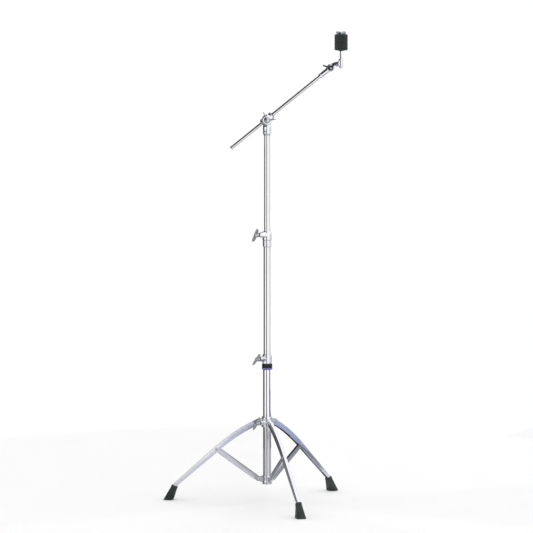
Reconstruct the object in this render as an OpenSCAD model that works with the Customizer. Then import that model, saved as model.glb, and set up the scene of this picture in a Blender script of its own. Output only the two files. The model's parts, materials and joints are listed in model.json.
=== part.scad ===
// Cymbal boom stand: a folding tripod, two sliding height tubes, a boom on a
// clamping tilter, and a tilting cymbal seat with two felts and a wing nut.
// Origin: on the floor, under the axis of the tubes. +Z up, boom towards +X.

/* [Tubes] */
// Outside diameter of the base tube
base_tube_d = 25.4; // [25:0.1:25.8]
// Outside diameter of the middle tube
middle_tube_d = 22.2; // [21.8:0.1:22.4]
// Outside diameter of the upper tube
upper_tube_d = 19.05; // [18.6:0.05:19.2]
// Wall thickness of all three tubes
tube_wall = 1.2; // [1:0.1:1.4]
// Height of the base tube's lower end above the floor
base_tube_z0 = 60; // [58:1:62]
// Height of the base tube's upper end
base_tube_z1 = 449; // [446:1:450]
// Height of the middle tube's lower end
middle_tube_z0 = 310; // [300:5:340]
// Height of the middle tube's upper end
middle_tube_z1 = 828; // [827:1:829]
// Height of the upper tube's lower end
upper_tube_z0 = 700; // [690:5:740]
// Height of the upper tube's upper end
upper_tube_z1 = 1172; // [1170:1:1174]

/* [Tripod] */
// Directions of the left, right and front legs round the tube
leg_azimuths = [169, 49, 289]; // [0:1:360]
// Distance of the collar pivots from the tube's axis
pivot_r = 28.5; // [28:0.5:30]
// Height of the upper collar's pivots
collar_pivot_z = 254; // [252:1:256]
// Height of the lower collar's pivots
strut_pivot_z = 75; // [74:1:76]
// Distance of the knee pivots from the tube's axis
knee_r = 160; // [158:1:164]
// Slope of a leg below its knee
leg_slope = 41.5; // [41:0.5:42]
// Distance of a leg's end from the tube's axis
leg_end_r = 297; // [295:1:298]
// Outside width of a leg channel
leg_w = 12; // [11.8:0.1:12.4]
// Outside width of a strut channel
strut_w = 8.6; // [8.4:0.1:8.8]
// Sheet thickness of the legs and struts
sheet = 1.3; // [1.1:0.1:1.4]
// Depth of a strut channel between its ends
strut_depth = 15.6; // [15:0.2:16]
// Radius of the pivot pins
pin_r = 3; // [2.8:0.1:3.2]

/* [Feet] */
// Distance of a sole's centre from the tube's axis
sole_r = 314.5; // [312:0.5:316]
// Length and width of a sole
sole_size = 29; // [27:1:31]
// Height of a foot
foot_h = 45; // [43:1:47]

/* [Boom] */
// Height of the boom's pivot
tilter_z = 1197; // [1196:1:1198]
// Distance of the boom behind the tube's axis
boom_y = 28; // [27.5:0.5:29]
// Angle of the boom above level
boom_angle = 39.1; // [35:0.1:43]
// Radius of the boom rod
boom_r = 5; // [4.8:0.1:5]
// Length of the boom behind its pivot
boom_tail = 144.6; // [120:1:170]
// Distance from the boom's pivot to the cymbal tilter's pivot
boom_reach = 253; // [253:1:260]

/* [Cymbal seat] */
// Horizontal distance of the cymbal rod from the tube's axis
seat_x = 228.5; // [228:0.5:232]
// Height of the lower felt's underside
felt_z0 = 1410; // [1409:1:1414]
// Thickness of one felt
felt_h = 25.2; // [24:0.2:26]
// Diameter of the felts
felt_d = 42; // [38:0.5:44]
// Radius of the cymbal rod
seat_rod_r = 4; // [3.8:0.1:4]

/* [Wing bolts] */
// Directions of the wing bolts on the collar, base clamp and upper clamp
bolt_azimuths = [229, 222, 215]; // [200:1:235]
// Heights of the wing bolts on the collar, base clamp and upper clamp
bolt_heights = [254.5, 454, 841]; // [250:1:850]
// Distances of the wing bolts' hubs from the tube's axis
hub_starts = [40, 34.5, 35]; // [33:0.5:42]
// Turns of the wings about the bolts, from upright
bolt_rolls = [-32, -40, -31]; // [-60:1:60]
// Radius of the wing bolts' threads
bolt_r = 4; // [3.8:0.1:4]

/* [Hidden] */
$fn = 64;
hull_fn = 32;
run_gap = 0.05;
part_gap = 0.3;
pin_fit = pin_r + run_gap;
bolt_fit = bolt_r + run_gap;
base_r = base_tube_d / 2;
middle_r = middle_tube_d / 2;
upper_r = upper_tube_d / 2;
base_fit = base_r + run_gap;
middle_fit = middle_r + run_gap;
upper_fit = upper_r + run_gap;

// Tripod: the knee is level with the middle of the pivots, so leg and strut are
// equal links and every angle keeps a constant ratio to the fold.
knee_z = (collar_pivot_z + strut_pivot_z) / 2;
knee_run = knee_r - pivot_r;
link_drop = collar_pivot_z - knee_z;
link_len = norm([knee_run, link_drop]);
link_angle = atan(link_drop / knee_run);
slope_end = tan(leg_slope);
slope_start = 2 * link_drop / knee_run - slope_end;
leg_run = leg_end_r - pivot_r;
leg_end_half = 6;
leg_knee_half = 8.5;
leg_top_half = 9;
leg_lug_r = leg_top_half + 0.5;
head_h = 2;
head_r = 4.6;
foot_pin_r = 1.8;
tongue_top_w = leg_w - 2 * sheet - 2 * part_gap;
tongue_low_w = strut_w - 2 * sheet - 2 * part_gap;
collar_z0 = 238;
collar_z1 = 271;
collar_r = 17.5;
low_collar_z0 = 59;
low_collar_z1 = 86;
low_collar_r = 15.2;

// Clamps
ring_z0 = 419;
base_clamp_z0 = 437;
base_clamp_z1 = 467;
upper_clamp_z0 = 802;
upper_clamp_z1 = 852;
insert_gap = 0.4;
lip_h = 4;
base_clamp_r = 14.4;
upper_clamp_r = 14.6;
sleeve_r = 13.4;
band_z0 = 421;
band_z1 = 424.4;
ring_r = 16.4;

// Tilters
socket_z0 = 1149;
socket_z1 = 1180;
socket_r = 13.3;
drum_r = 16;
drum_half = 9;
washer_h = 1.6;
washer_r = 9.5;
holder_y0 = drum_half + part_gap;
holder_y1 = 20;
holder_len = 40;
holder_r = 11.8;
liner_r = 6.6;
eye_r = 9.4;
eye_end_y = 37.5;
neck_start = 209;
neck_bore = 25;
neck_r = 7.5;
seat_drum_r = 12;
seat_drum_half = 8.7;
seat_bolt_r = 3;
knee_x = boom_reach * cos(boom_angle);
knee_up = tilter_z + boom_reach * sin(boom_angle);
barrel_r = 6.8;
barrel_z0 = 1361;
barrel_z1 = 1384;
seat_rod_top = 1466.5;
sleeve_flange_r = 7;
seat_sleeve_r = 5.8;
felt_outer_rim = 4;
felt_inner_rim = 1.2;

// ---- Shared shapes ----------------------------------------------------------

// Points on a circular arc, for outlines
function arc(centre, r, a0, a1, steps) = [
    for (i = [0 : steps]) let (a = a0 + (a1 - a0) * i / steps)
        centre + r * [cos(a), sin(a)]
];

module tube(r, z0, z1) {
    translate([0, 0, z0]) difference() {
        cylinder(r = r, h = z1 - z0);
        translate([0, 0, -1]) cylinder(r = r - tube_wall, h = z1 - z0 + 2);
    }
}

// A solid of revolution about Z from an outline of [radius, height] points
module turned(points) {
    rotate_extrude() polygon(points);
}

// A plate in the radial plane of one leg, from [radius, height] outlines
module in_leg_plane(azimuth, width) {
    rotate([0, 0, azimuth]) rotate([90, 0, 0])
        linear_extrude(height = width, center = true) children();
}

// A pin across the leg plane, centred on a [radius, height] point
module cross_pin(azimuth, at, r, length) {
    rotate([0, 0, azimuth]) translate([at[0], 0, at[1]]) rotate([90, 0, 0])
        cylinder(r = r, h = length, center = true);
}

// A rivet: a pin with a low domed head outside each face
module rivet(azimuth, at, grip) {
    cross_pin(azimuth, at, pin_r, grip + 2 * part_gap + head_h);
    rotate([0, 0, azimuth]) translate([at[0], 0, at[1]])
        for (side = [0, 180]) rotate([90, 0, side])
            translate([0, 0, grip / 2 + part_gap]) turned(concat(
                [[0, 0], [head_r, 0], [head_r, head_h * 0.4]],
                [[head_r * 0.8, head_h * 0.85], [head_r * 0.4, head_h], [0, head_h]]
            ));
}

// Moves and turns a bolt, drawn along +X from the tube's axis, to its place
module at_bolt(index) {
    translate([0, 0, bolt_heights[index]]) rotate([0, 0, bolt_azimuths[index]])
        children();
}

// One ear of a wing bolt, from a root on the hub out to a round tip
module ear(root_x, tip_x, tip_z, tip_r, root_w = 9) {
    thick = 3.4;
    rotate([90, 0, 0]) linear_extrude(height = thick, center = true) union() {
        polygon([
            [root_x, 3], [root_x + root_w, 3],
            [tip_x + tip_r * 0.95, tip_z - tip_r * 0.3],
            [tip_x - tip_r * 0.95, tip_z + tip_r * 0.3]
        ]);
        translate([tip_x, tip_z]) circle(r = tip_r);
    }
}

// Hub and ears of a wing bolt or wing nut along +X, with ears at given turns
module wing_head(start, hub_len, hub_r, ear_turns, reach, flare) {
    translate([start, 0, 0]) rotate([0, 90, 0])
        cylinder(r1 = hub_r, r2 = hub_r * 0.8, h = hub_len);
    for (turn = ear_turns) rotate([turn, 0, 0])
        ear(start + 1.5, start + flare, reach, 4.2);
}

// A wing bolt, with its tip at a distance from the tube's axis
module wing_bolt(index, tip) {
    at_bolt(index) rotate([bolt_rolls[index], 0, 0]) {
        translate([tip, 0, 0]) rotate([0, 90, 0])
            cylinder(r = bolt_r, h = hub_starts[index] - tip + 1);
        wing_head(hub_starts[index], 13, 7, [0, 180], 21, 15);
    }
}

// The threaded boss of a clamp, standing out along its bolt
module boss(index, root, end, r1, r2) {
    at_bolt(index) translate([root, 0, 0]) rotate([0, 90, 0])
        cylinder(r1 = r1, r2 = r2, h = end - root);
}

module bolt_hole(index, length) {
    at_bolt(index) rotate([0, 90, 0]) cylinder(r = bolt_fit, h = length);
}

// Moves parts drawn along X from the boom's pivot to the boom's place
module on_boom() {
    translate([0, boom_y, tilter_z]) rotate([0, -boom_angle, 0]) children();
}

// Moves parts drawn about the cymbal tilter's pivot to its place
module on_seat_pivot() {
    translate([knee_x, boom_y, knee_up]) children();
}

// A cylinder along Y between two distances from the origin
module along_y(r, y0, y1) {
    translate([0, y1, 0]) rotate([90, 0, 0]) cylinder(r = r, h = y1 - y0);
}

// ---- Tripod -----------------------------------------------------------------

// Height of a leg's middle line at a run from its collar pivot
function leg_z(run) = run <= knee_run
    ? collar_pivot_z - slope_start * run
        - (slope_end - slope_start) * run * run / (2 * knee_run)
    : knee_z - slope_end * (run - knee_run);
function leg_fall(run) = atan(
    run >= knee_run ? slope_end
    : slope_start + (slope_end - slope_start) * run / knee_run
);
function leg_half(run) = run <= knee_run
    ? leg_top_half + (leg_knee_half - leg_top_half) * run / knee_run
    : leg_knee_half + (leg_end_half - leg_knee_half)
        * (run - knee_run) / (leg_run - knee_run);
function leg_side(run, off) = [
    pivot_r + run + off * sin(leg_fall(run)), leg_z(run) + off * cos(leg_fall(run))
];
leg_runs = concat([for (i = [0 : 6]) knee_run * i / 6], [leg_run]);
leg_last = len(leg_runs) - 1;
collar_pivot = [pivot_r, collar_pivot_z];
strut_pivot = [pivot_r, strut_pivot_z];
knee = [knee_r, knee_z];
foot_pin_at = leg_side(leg_run - 24, 0);

// A leg: a channel, open below, that bends down towards the knee
module leg(azimuth) {
    color("gainsboro") difference() {
        in_leg_plane(azimuth, leg_w) union() {
            translate(collar_pivot) circle(r = leg_lug_r);
            polygon(concat(
                [for (run = leg_runs) leg_side(run, -leg_half(run))],
                [for (i = [0 : leg_last]) let (run = leg_runs[leg_last - i])
                    leg_side(run, leg_half(run))]
            ));
        }
        in_leg_plane(azimuth, leg_w - 2 * sheet) union() {
            translate(collar_pivot) circle(r = leg_lug_r + 1);
            polygon(concat(
                [for (run = leg_runs) leg_side(run, -leg_half(run) - 2)],
                [leg_side(leg_run + 2, -leg_end_half - 2)],
                [leg_side(leg_run + 2, leg_end_half - sheet)],
                [for (i = [0 : leg_last]) let (run = leg_runs[leg_last - i])
                    leg_side(run, leg_half(run) - sheet)]
            ));
        }
        cross_pin(azimuth, collar_pivot, pin_fit, leg_w + 2);
        cross_pin(azimuth, knee, pin_r, leg_w + 2);
        cross_pin(azimuth, foot_pin_at, foot_pin_r, leg_w + 2);
    }
}

module foot_pin(azimuth) {
    color("silver") cross_pin(azimuth, foot_pin_at, foot_pin_r, leg_w + 1.6);
}

// A strut: a channel, open above, from its knee down to the lower collar
module strut(azimuth) {
    knee_end_r = 6.6;
    low_end_r = 7;
    half = strut_depth / 2;
    color("silver") difference() {
        in_strut_frame(azimuth, strut_w) union() {
            circle(r = low_end_r);
            translate([link_len, 0]) circle(r = knee_end_r);
            polygon([
                [0, -low_end_r], [18, -half], [link_len - 24, -half],
                [link_len, -knee_end_r], [link_len, knee_end_r],
                [link_len - 24, half], [18, half], [0, low_end_r]
            ]);
        }
        in_strut_frame(azimuth, strut_w - 2 * sheet) polygon([
            [-low_end_r - 1, -low_end_r + 1], [4, -low_end_r + 1],
            [18, sheet - half], [link_len - 24, sheet - half],
            [link_len - 2, sheet - knee_end_r], [link_len - 2, -half - 1],
            [link_len + half, -half - 1], [link_len + half, half + 1],
            [-low_end_r - 1, half + 1]
        ]);
        in_strut_frame(azimuth, strut_w - 2 * sheet) translate([-low_end_r - 1, -half])
            square([low_end_r + 5, half]);
        cross_pin(azimuth, strut_pivot, pin_fit, strut_w + 2);
        cross_pin(azimuth, knee, pin_fit, strut_w + 2);
    }
}

// Plates drawn along X from the lower pivot, turned up to the knee
module in_strut_frame(azimuth, width) {
    in_leg_plane(azimuth, width) translate(strut_pivot) rotate(link_angle) children();
}

module knee_rivet(azimuth) {
    color("silver") rivet(azimuth, knee, leg_w - 2 * part_gap);
}

// A rubber foot: wide and flat below, narrow and tilted where the leg enters
module foot(azimuth) {
    top_r = sole_r - foot_h * 0.47;
    low = sole_size / 2 - 6;
    tilt = -25;
    color("darkslategray") difference() {
        rotate([0, 0, azimuth]) hull() {
            for (x = [-low, low], y = [-low, low]) {
                translate([sole_r + x, y, 0]) cylinder(r = 5.2, h = 1.5, $fn = hull_fn);
                translate([sole_r + x * 0.98, y, 0]) cylinder(r = 6, h = 6, $fn = hull_fn);
            }
            translate([top_r, 0, foot_h]) rotate([0, tilt, 0])
                for (x = [-6, 6], y = [-5, 5]) translate([x, y, -3])
                    cylinder(r = 3.4, h = 3, $fn = hull_fn);
        }
        in_leg_plane(azimuth, leg_w + 0.1) polygon([
            leg_side(leg_run - 30, -leg_end_half - 0.5), leg_side(leg_run, -leg_end_half - 0.1),
            leg_side(leg_run, leg_end_half + 0.1), leg_side(leg_run - 30, leg_end_half + 0.5)
        ]);
    }
}

// The tongue of a collar, round about its pivot
module tongue(azimuth, at, width, root_r, low, high) {
    round_r = 6.9;
    in_leg_plane(azimuth, width) union() {
        translate(at) circle(r = round_r);
        polygon([
            [root_r, low], [at[0] + 2, at[1] - round_r + 0.3],
            [at[0] + 2, at[1] + round_r - 0.3], [root_r, high]
        ]);
    }
}

// The sliding collar that carries the legs
module upper_collar() {
    rim = 2;
    color("gainsboro") difference() {
        union() {
            turned([
                [base_fit, collar_z0], [collar_r - rim, collar_z0],
                [collar_r, collar_z0 + rim], [collar_r, collar_z1 - rim],
                [collar_r - rim, collar_z1], [base_fit, collar_z1]
            ]);
            for (a = leg_azimuths) tongue(a, collar_pivot, tongue_top_w,
                base_r + 2, collar_pivot_z - 12, collar_pivot_z + 12);
            boss(0, base_r + 1, 35, 9, 7.5);
        }
        for (a = leg_azimuths) cross_pin(a, collar_pivot, pin_r, leg_w);
        translate([0, 0, collar_z0 - 1]) cylinder(r = base_fit, h = 40);
        bolt_hole(0, 40);
    }
}

module upper_rivets() {
    color("silver") for (a = leg_azimuths) rivet(a, collar_pivot, leg_w);
}

// The fixed collar at the foot of the base tube
module lower_collar() {
    rim = 1.5;
    color("gainsboro") difference() {
        union() {
            turned([
                [base_fit, low_collar_z0], [low_collar_r - rim, low_collar_z0],
                [low_collar_r, low_collar_z0 + rim], [low_collar_r, low_collar_z1 - rim],
                [low_collar_r - rim, low_collar_z1], [base_fit, low_collar_z1]
            ]);
            for (a = leg_azimuths) tongue(a, strut_pivot, tongue_low_w,
                base_r + 1, strut_pivot_z - 11, strut_pivot_z + 9);
        }
        for (a = leg_azimuths) cross_pin(a, strut_pivot, pin_r, leg_w);
        translate([0, 0, low_collar_z0 - 1]) cylinder(r = base_fit, h = 40);
    }
}

module lower_rivets() {
    color("silver") for (a = leg_azimuths) rivet(a, strut_pivot, strut_w);
}

module collar_wing_bolt() {
    color("silver") wing_bolt(0, base_r + 0.4);
}

// ---- Height tubes and clamps ------------------------------------------------

module base_tube() {
    color("lightgray") tube(base_r, base_tube_z0, base_tube_z1);
}

module middle_tube() {
    color("lightgray") tube(middle_r, middle_tube_z0, middle_tube_z1);
}

module upper_tube() {
    color("lightgray") tube(upper_r, upper_tube_z0, upper_tube_z1);
}

// Black moulded ring under the base clamp, with a groove for the band
module base_ring() {
    groove = 0.8;
    color("black") turned([
        [base_fit, ring_z0], [ring_r - 1.2, ring_z0], [ring_r, ring_z0 + 1.2],
        [ring_r, band_z0], [ring_r - groove, band_z0],
        [ring_r - groove, band_z1], [ring_r, band_z1],
        [ring_r, base_clamp_z0 - 1.5], [ring_r - 1.5, base_clamp_z0], [base_fit, base_clamp_z0]
    ]);
}

module base_band() {
    color("mediumslateblue") turned([
        [ring_r - 0.8, band_z0], [ring_r + 0.3, band_z0 + 0.4],
        [ring_r + 0.3, band_z1 - 0.4], [ring_r - 0.8, band_z1]
    ]);
}

// The clamp on top of the base tube, with a curved web under its boss
module base_clamp() {
    top = base_clamp_z1;
    boss_end = 31;
    rim = 2.2;
    color("gainsboro") difference() {
        union() {
            turned(concat(
                [[0, base_clamp_z0], [base_clamp_r - 0.8, base_clamp_z0]],
                [[base_clamp_r, base_clamp_z0 + 3], [base_clamp_r, top - 7]],
                [[base_clamp_r - 0.3, top - 4.5]],
                arc([base_clamp_r - rim - 0.3, top - rim], rim, 20, 90, 4), [[0, top]]
            ));
            boss(1, 8, boss_end, 9, 7.2);
            in_leg_plane(bolt_azimuths[1], 6) polygon(concat(
                [[10, bolt_heights[1]], [10, base_clamp_z0], [base_clamp_r + 1, base_clamp_z0]],
                arc([boss_end + 1, base_clamp_z0 - 2], boss_end - base_clamp_r, 170, 98, 7),
                [[boss_end - 1, bolt_heights[1]]]
            ));
        }
        translate([0, 0, base_clamp_z0 - 1])
            cylinder(r = base_fit, h = top - lip_h - base_clamp_z0 + 1);
        cylinder(r = middle_r + 0.4, h = top + 1);
        bolt_hole(1, 40);
    }
}

// Split-free nylon liner that the sliding tube turns and slides in
module insert(r_in, r_out, z0, z1) {
    color("dimgray") turned([
        [r_in, z0], [r_out - 0.3, z0], [r_out, z0 + 0.3],
        [r_out, z1 - 0.3], [r_out - 0.3, z1], [r_in, z1]
    ]);
}

module base_insert() {
    insert(middle_fit, base_r, base_tube_z1 + insert_gap,
        base_clamp_z1 - lip_h - insert_gap);
}

module base_wing_bolt() {
    color("silver") wing_bolt(1, base_r + 0.4);
}

// The clamp on top of the middle tube: a sleeve below and a domed body above
module upper_clamp() {
    top = upper_clamp_z1;
    shoulder = 825;
    dome = 9;
    color("gainsboro") difference() {
        union() {
            turned(concat(
                [[0, upper_clamp_z0], [sleeve_r - 2, upper_clamp_z0]],
                arc([sleeve_r - 3, upper_clamp_z0 + 3], 3, -60, 0, 4),
                [[sleeve_r, shoulder - 2], [upper_clamp_r, shoulder]],
                arc([upper_clamp_r - dome, top - dome], dome, 0, 60, 7),
                [[upper_r + 0.9, top], [0, top]]
            ));
            boss(2, 6, 31, 12, 6.2);
        }
        translate([0, 0, upper_clamp_z0 - 1])
            cylinder(r = middle_fit, h = top - lip_h - upper_clamp_z0 + 1);
        cylinder(r = upper_r + 0.4, h = top + 1);
        bolt_hole(2, 40);
    }
}

module upper_insert() {
    insert(upper_fit, middle_r, middle_tube_z1 + insert_gap,
        upper_clamp_z1 - lip_h - insert_gap);
}

module upper_wing_bolt() {
    color("silver") wing_bolt(2, middle_r + 0.4);
}

// ---- Boom tilter ------------------------------------------------------------

// Socket on the upper tube, with the tilter's fixed drum above it
module tilter_base() {
    color("gainsboro") difference() {
        union() {
            turned([
                [0, socket_z0], [upper_r + 1.2, socket_z0], [socket_r - 0.6, socket_z0 + 5],
                [socket_r, socket_z0 + 8], [socket_r, socket_z1 - 3],
                [socket_r - 2.5, socket_z1], [0, socket_z1]
            ]);
            translate([0, 0, tilter_z]) along_y(drum_r, -drum_half, drum_half);
            translate([-10, -drum_half + 1, socket_z1 - 4]) cube([20, 2 * drum_half - 2, 12]);
        }
        translate([0, 0, socket_z0 - 1])
            cylinder(r = upper_r, h = upper_tube_z1 - socket_z0 + 1);
        translate([0, 0, tilter_z]) along_y(bolt_fit, -drum_half - 1, drum_half + 1);
    }
}

module tilter_washer() {
    color("silver") translate([0, 0, tilter_z]) difference() {
        along_y(washer_r, -drum_half - washer_h, -drum_half);
        along_y(bolt_fit, -drum_half - washer_h - 1, 0);
    }
}

// The moving drum, with a sleeve across it for the boom
module boom_holder() {
    rim = 1.4;
    color("gainsboro") difference() {
        union() {
            translate([0, 0, tilter_z]) along_y(drum_r, holder_y0, holder_y1);
            on_boom() rotate([0, 90, 0]) translate([0, 0, -holder_len / 2]) turned([
                [0, 0], [holder_r - rim, 0], [holder_r, rim], [holder_r, holder_len - rim],
                [holder_r - rim, holder_len], [0, holder_len]
            ]);
        }
        translate([0, 0, tilter_z]) along_y(eye_r + run_gap, holder_y1 - 0.5, boom_y + 20);
        translate([0, 0, tilter_z]) along_y(bolt_r, holder_y0 - 1, holder_y1);
        on_boom() rotate([0, 90, 0])
            cylinder(r = liner_r + run_gap, h = holder_len + 2, center = true);
    }
}

// The eye bolt that draws the boom and the drums together
module tilter_eye_bolt() {
    stud_end = -27;
    color("silver") difference() {
        union() {
            translate([0, 0, tilter_z]) along_y(bolt_r, stud_end, holder_y1);
            translate([0, 0, tilter_z]) along_y(eye_r, holder_y1 - 0.4, eye_end_y);
        }
        on_boom() rotate([0, 90, 0])
            cylinder(r = liner_r + run_gap, h = 4 * eye_r, center = true);
    }
}

// Nylon liner that the boom slides and rolls in
module boom_liner() {
    flange = 1.5;
    half = holder_len / 2;
    color("black") on_boom() rotate([0, 90, 0]) turned([
        [boom_r + run_gap, -half - flange], [liner_r + 3, -half - flange],
        [liner_r + 3, -half - part_gap], [liner_r, -half - part_gap],
        [liner_r, half + part_gap], [liner_r + 3, half + part_gap],
        [liner_r + 3, half + flange], [boom_r + run_gap, half + flange]
    ]);
}

// A wing nut along +X: hub, washer face and two ears in a V, bored through
module wing_nut(r, hub_r, ear_turns, reach) {
    hub_len = 12;
    difference() {
        union() {
            wing_head(0, hub_len, hub_r, ear_turns, reach, 8);
            rotate([0, 90, 0]) cylinder(r = hub_r + 1.8, h = 2);
        }
        translate([-1, 0, 0]) rotate([0, 90, 0]) cylinder(r = r, h = hub_len + 2);
    }
}

module tilter_wing_nut() {
    color("silver") translate([0, -drum_half - washer_h - part_gap, tilter_z])
        rotate([0, 0, -90]) wing_nut(bolt_fit, 8.6, [24, -82], 23);
}

// ---- Boom and cymbal tilter -------------------------------------------------

module boom_rod() {
    cap_floor = 4;
    color("lightgray") on_boom() translate([cap_floor - boom_tail, 0, 0]) rotate([0, 90, 0])
        cylinder(r = boom_r, h = boom_tail - cap_floor + neck_start + neck_bore);
}

module boom_end_cap() {
    cap_r = boom_r + 0.7;
    color("silver") on_boom() translate([-boom_tail, 0, 0]) rotate([0, 90, 0])
        difference() {
            turned(concat([[0, 0]], arc([cap_r - 2, 2], 2, -90, 0, 5),
                [[cap_r, 9], [cap_r - 0.5, 9.5], [0, 9.5]]));
            translate([0, 0, 4]) cylinder(r = boom_r, h = 8);
        }
}

// Socket on the boom's end, with the fixed half of the cymbal tilter
module boom_neck() {
    socket_len = boom_reach - seat_drum_r - 1 - neck_start;
    color("gainsboro") difference() {
        union() {
            on_boom() translate([neck_start, 0, 0]) rotate([0, 90, 0]) turned([
                [0, 0], [neck_r - 1, 0], [neck_r, 1],
                [neck_r, socket_len - 1.5], [neck_r - 1.5, socket_len], [0, socket_len]
            ]);
            on_boom() translate([neck_start + socket_len - 8, -seat_drum_half + 0.5, -6.5])
                cube([18, seat_drum_half - 0.8, 13]);
            on_seat_pivot() along_y(seat_drum_r, -seat_drum_half, -part_gap / 2);
        }
        on_boom() translate([neck_start - 1, 0, 0]) rotate([0, 90, 0])
            cylinder(r = boom_r, h = neck_bore + 1);
        on_seat_pivot() along_y(seat_bolt_r, -seat_drum_half - 1, 1);
    }
}

module seat_tilter_bolt() {
    head_y = seat_drum_half + part_gap;
    color("silver") on_seat_pivot() {
        along_y(seat_bolt_r, -24, head_y + 1);
        translate([0, head_y + 4, 0]) rotate([90, 0, 0])
            cylinder(r = 6.4, h = 4, $fn = 6);
    }
}

module seat_tilter_washer() {
    color("silver") on_seat_pivot() difference() {
        along_y(7.5, -seat_drum_half - 1.2, -seat_drum_half);
        along_y(seat_bolt_r, -seat_drum_half - 2, 0);
    }
}

module seat_tilter_wing_nut() {
    color("dimgray") on_seat_pivot() translate([0, -seat_drum_half - 1.2 - part_gap, 0])
        rotate([0, 0, -90]) wing_nut(seat_bolt_r + run_gap, 7, [70, -57], 22);
}

// The moving half of the cymbal tilter: drum, horn, flange and rod barrel
module seat_link() {
    horn_z = 1367.5;
    horn_x0 = 209.6;
    flange_x = 219.4;
    flange_r = 9.6;
    color("gainsboro") difference() {
        union() {
            on_seat_pivot() along_y(seat_drum_r, part_gap / 2, seat_drum_half);
            translate([knee_x, boom_y + 1.5, horn_z - 7]) cube([16, 7, 12]);
            translate([horn_x0, boom_y, horn_z]) rotate([0, 90, 0])
                cylinder(r1 = 6.4, r2 = 8.4, h = flange_x - horn_x0);
            translate([flange_x, boom_y, horn_z + 3]) rotate([0, 90, 0])
                cylinder(r = flange_r, h = 2.4);
            translate([seat_x, boom_y, barrel_z0]) cylinder(r = barrel_r,
                h = barrel_z1 - barrel_z0);
            translate([seat_x, boom_y, barrel_z0]) sphere(r = barrel_r);
        }
        on_seat_pivot() along_y(seat_bolt_r + run_gap, -1, seat_drum_half + 1);
        translate([seat_x, boom_y, barrel_z0]) cylinder(r = seat_rod_r, h = 40);
    }
}

module on_seat(z) {
    translate([seat_x, boom_y, z]) children();
}

module cymbal_rod() {
    color("lightgray") on_seat(barrel_z0)
        cylinder(r = seat_rod_r, h = seat_rod_top - barrel_z0);
}

// Plastic sleeve that keeps the cymbal's hole off the rod's thread
module rod_sleeve() {
    flange_h = 1.8;
    color("black") on_seat(felt_z0 - flange_h) turned([
        [seat_rod_r, 0], [sleeve_flange_r, 0], [sleeve_flange_r, flange_h],
        [seat_sleeve_r, flange_h], [seat_sleeve_r, flange_h + 1.55 * felt_h],
        [seat_rod_r, flange_h + 1.55 * felt_h]
    ]);
}

// A felt: a thick soft disc with rounded rims below and above, and a hole
module felt(z, hole_r, low_rim, high_rim) {
    r = felt_d / 2;
    color([0.17, 0.2, 0.19]) on_seat(z) turned(concat(
        [[hole_r, 0]], arc([r - low_rim, low_rim], low_rim, -90, 0, 5),
        arc([r - high_rim, felt_h - high_rim], high_rim, 0, 90, 5), [[hole_r, felt_h]]
    ));
}

module lower_felt() {
    felt(felt_z0, seat_sleeve_r, felt_outer_rim, felt_inner_rim);
}

module upper_felt() {
    felt(felt_z0 + felt_h + part_gap, seat_sleeve_r + part_gap, felt_inner_rim, felt_outer_rim);
}

module cymbal_wing_nut() {
    color("silver") on_seat(felt_z0 + 2 * felt_h + 2 * part_gap)
        rotate([0, -90, 0]) difference() {
            union() {
                rotate([0, 90, 0]) cylinder(r1 = 9, r2 = 6, h = 5.5);
                for (turn = [0, 180]) rotate([turn, 0, 0])
                    ear(0.5, 4.6, 12.2, 3.6, 7);
            }
            translate([-1, 0, 0]) rotate([0, 90, 0])
                cylinder(r = seat_rod_r + run_gap, h = 20);
        }
}

// ---- Nodes ------------------------------------------------------------------

base_tube();
lower_collar();
lower_rivets();
base_clamp();
base_insert();
base_ring();
base_band();
base_wing_bolt();
upper_collar();
upper_rivets();
collar_wing_bolt();
leg(leg_azimuths[0]);  // leg_left
leg(leg_azimuths[1]);  // leg_right
leg(leg_azimuths[2]);  // leg_front
strut(leg_azimuths[0]);  // strut_left
strut(leg_azimuths[1]);  // strut_right
strut(leg_azimuths[2]);  // strut_front
knee_rivet(leg_azimuths[0]);  // knee_rivet_left
knee_rivet(leg_azimuths[1]);  // knee_rivet_right
knee_rivet(leg_azimuths[2]);  // knee_rivet_front
foot(leg_azimuths[0]);  // foot_left
foot(leg_azimuths[1]);  // foot_right
foot(leg_azimuths[2]);  // foot_front
foot_pin(leg_azimuths[0]);  // foot_pin_left
foot_pin(leg_azimuths[1]);  // foot_pin_right
foot_pin(leg_azimuths[2]);  // foot_pin_front
middle_tube();
upper_clamp();
upper_insert();
upper_wing_bolt();
upper_tube();
tilter_base();
tilter_washer();
boom_holder();
tilter_eye_bolt();
boom_liner();
tilter_wing_nut();
boom_rod();
boom_end_cap();
boom_neck();
seat_tilter_bolt();
seat_tilter_washer();
seat_tilter_wing_nut();
seat_link();
cymbal_rod();
rod_sleeve();
lower_felt();
upper_felt();
cymbal_wing_nut();
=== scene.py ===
import json
import math
from math import cos, pi, radians, sin, tau

import bmesh
import bpy
from mathutils import Matrix, Vector, noise


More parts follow.
